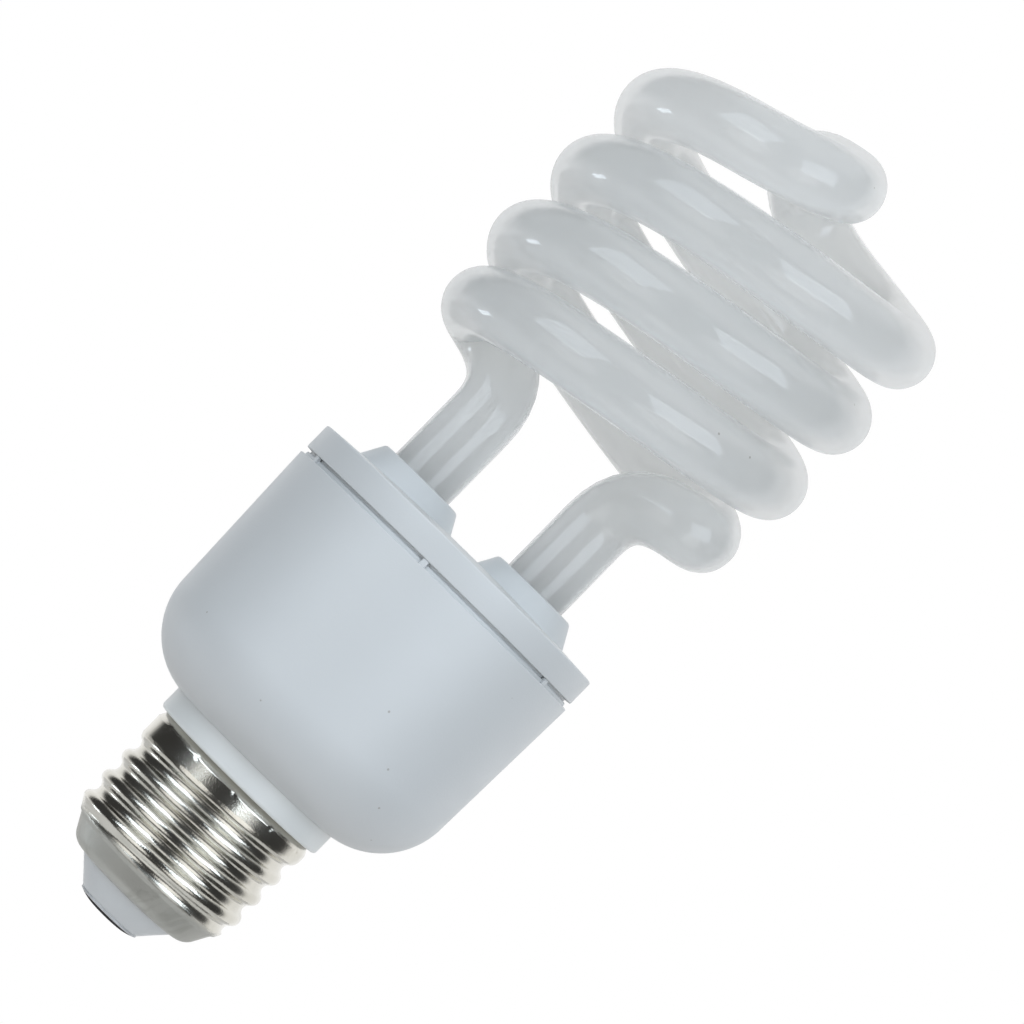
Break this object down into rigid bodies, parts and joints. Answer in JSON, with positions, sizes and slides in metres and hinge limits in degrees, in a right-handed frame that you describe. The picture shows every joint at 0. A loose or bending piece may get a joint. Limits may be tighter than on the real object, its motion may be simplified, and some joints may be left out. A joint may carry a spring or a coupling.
{
  "type": "compact fluorescent lamp",
  "caption": "Spiral compact fluorescent lamp: a white glass tube in a double spiral on a round ballast case with an Edison screw cap.",
  "frame": {"origin": "centre of the contact's flat foot, on the lamp's axis", "axes": "+Z along the lamp's axis from the cap to the spiral, +X through the two legs of the tube, -Y towards the picture's camera"},
  "size_m": [0.054, 0.054, 0.1389],
  "materials": {
    "opal_glass": "clear gloss over a white inner coat",
    "case_plastic": "fine satin, pale cool white",
    "cap_nickel": "bright nickel plate on rolled sheet",
    "insulator_plastic": "pale, satin",
    "contact_nickel": "dull nickel plate",
    "cement": "matt white cement",
    "board": "brown laminate",
    "ferrite": "matt dark ferrite",
    "moulding": "black moulded plastic",
    "copper": "enamelled copper wire",
    "tinned_wire": "tinned wire",
    "sleeve": "dark shrink sleeve",
    "film_coat": "dipped red-brown coat",
    "resistor_coat": "tan coat",
    "wire_cover": "white wire cover"
  },
  "bodies": {
    "root": {"spiral_tube": "opal_glass", "tube_holder": "case_plastic", "ballast_housing": "case_plastic", "screw_shell": "cap_nickel", "cap_insulator": "insulator_plastic", "centre_contact": "contact_nickel", "tube_cement": "cement", "circuit_board": "board", "choke_core": "ferrite", "choke_bobbin": "moulding", "choke_winding": "copper", "choke_pins": "tinned_wire", "bulk_capacitor": "sleeve", "resonant_capacitor": "film_coat", "coupling_capacitor": "film_coat", "power_transistors": "moulding", "drive_ring": "ferrite", "drive_windings": "copper", "rectifier_diodes": "moulding", "resistors": "resistor_coat", "trigger_diode": "sleeve", "filter_choke": "sleeve", "fusible_resistor": "resistor_coat", "wire_posts": "tinned_wire", "tube_leads": "tinned_wire", "contact_lead": "wire_cover", "shell_lead": "wire_cover"}
  },
  "joints": []
}
